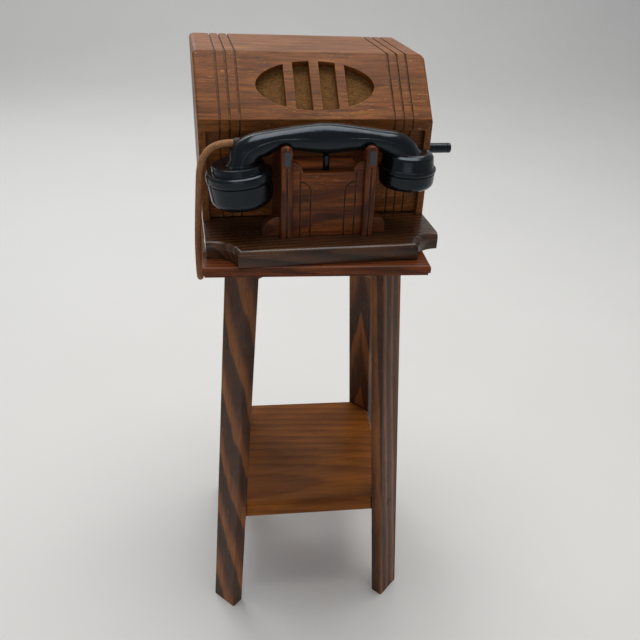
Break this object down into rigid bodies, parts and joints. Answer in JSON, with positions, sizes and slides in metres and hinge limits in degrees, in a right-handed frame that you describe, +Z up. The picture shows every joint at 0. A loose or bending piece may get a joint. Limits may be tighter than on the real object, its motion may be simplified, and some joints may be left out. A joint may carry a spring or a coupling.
{
  "type": "telephone",
  "caption": "Wooden magneto telephone with sloping cabinet, cradle handset, braided cord and side crank, on a splayed four-legged stand with a shelf.",
  "frame": {"origin": "on the floor, at the middle of the outer box of everything but the free cord", "axes": "+Z up, the telephone's front faces -Y, +X to the right of someone facing it"},
  "size_m": [0.2958, 0.3025, 0.6665],
  "materials": {
    "stand_wood": "satin",
    "leg_wood": "satin",
    "cabinet_wood": "gloss",
    "dark_wood": "satin",
    "black_resin": "gloss",
    "dark_inlay": "matte",
    "black_rubber": "matte",
    "braid": "matte",
    "cloth": "matte",
    "steel": "satin",
    "nickel": "satin",
    "brass": "satin",
    "bell_metal": "gloss",
    "iron": "satin",
    "magnet_steel": "satin",
    "winding": "matte",
    "can": "satin",
    "aluminium": "satin"
  },
  "bodies": {
    "telephone": {"stand_top": "stand_wood", "stand_leg_rear_right": "leg_wood", "stand_leg_rear_left": "leg_wood", "stand_leg_front_left": "leg_wood", "stand_leg_front_right": "leg_wood", "stand_shelf": "stand_wood", "corner_blocks": "stand_wood", "stand_screws": "steel", "leg_plugs": "dark_wood", "tray_board": "cabinet_wood", "side_left": "cabinet_wood", "side_right": "cabinet_wood", "top_board": "cabinet_wood", "slope_board": "cabinet_wood", "lower_panel": "cabinet_wood", "back_panel": "cabinet_wood", "back_screws": "brass", "glue_blocks": "stand_wood", "cabinet_screws": "steel", "grille_cloth": "cloth", "cloth_frame": "dark_wood", "cloth_tacks": "steel", "cradle_ear_left": "cabinet_wood", "cradle_ear_right": "cabinet_wood", "cradle_brackets": "cabinet_wood", "cradle_panel": "cabinet_wood", "cradle_plate": "cabinet_wood", "ear_inlays": "dark_inlay", "plunger_spring": "steel", "switch_bracket": "steel", "hook_contacts": "brass", "handset_cord": "braid", "cord_bushing": "black_rubber", "magneto_frame": "brass", "magneto_magnets": "magnet_steel", "pole_pieces": "iron", "crank_bush": "brass", "gongs": "bell_metal", "gong_fixings": "steel", "ringer_yoke": "steel", "ringer_coils": "winding", "induction_coil": "winding", "condenser": "can", "terminal_strip": "dark_inlay"},
    "handset": {"handset_handle": "black_resin", "transmitter_cap": "black_resin", "receiver_cap": "black_resin", "transmitter_capsule": "aluminium", "receiver_capsule": "aluminium", "handset_grommet": "black_rubber"},
    "hook_plunger": {"hook_plunger": "black_resin"},
    "crank": {"crank_arm": "nickel", "crank_shaft": "steel", "crank_gear": "brass", "knob_pin": "nickel"},
    "crank_knob": {"crank_knob": "black_resin"},
    "armature": {"armature": "iron", "armature_pinion": "steel"},
    "clapper": {"clapper": "steel"}
  },
  "joints": [
    {"name": "handset_lift", "type": "slide", "parent": "telephone", "child": "handset", "axis": [0, 0, 1], "range_m": [0, 0.08], "deforming": ["handset_cord"]},
    {"name": "hook_travel", "type": "slide", "parent": "telephone", "child": "hook_plunger", "axis": [0, 0, 1], "range_m": [0, 0.006], "stiffness_N_per_m": 60, "springref_m": 0.006, "deforming": ["plunger_spring"]},
    {"name": "crank_turn", "type": "hinge", "parent": "telephone", "child": "crank", "pos_m": [0.0962, 0.0182, 0.6117], "axis": [1, 0, 0], "continuous": true},
    {"name": "knob_spin", "type": "hinge", "parent": "crank", "child": "crank_knob", "pos_m": [0.1312, 0.0182, 0.5674], "axis": [1, 0, 0], "continuous": true},
    {"name": "armature_spin", "type": "hinge", "parent": "telephone", "child": "armature", "pos_m": [0.0702, 0.0182, 0.5835], "axis": [1, 0, 0], "continuous": true},
    {"name": "clapper_swing", "type": "hinge", "parent": "telephone", "child": "clapper", "pos_m": [-0.0568, 0.0922, 0.5622], "axis": [0, 1, 0], "range_deg": [-3, 3], "stiffness_Nm_per_rad": 0.005}
  ],
  "couplings": [
    {"joint": "hook_travel", "follows": "handset_lift", "ratio": 0.075},
    {"joint": "armature_spin", "follows": "crank_turn", "ratio": -3}
  ]
}
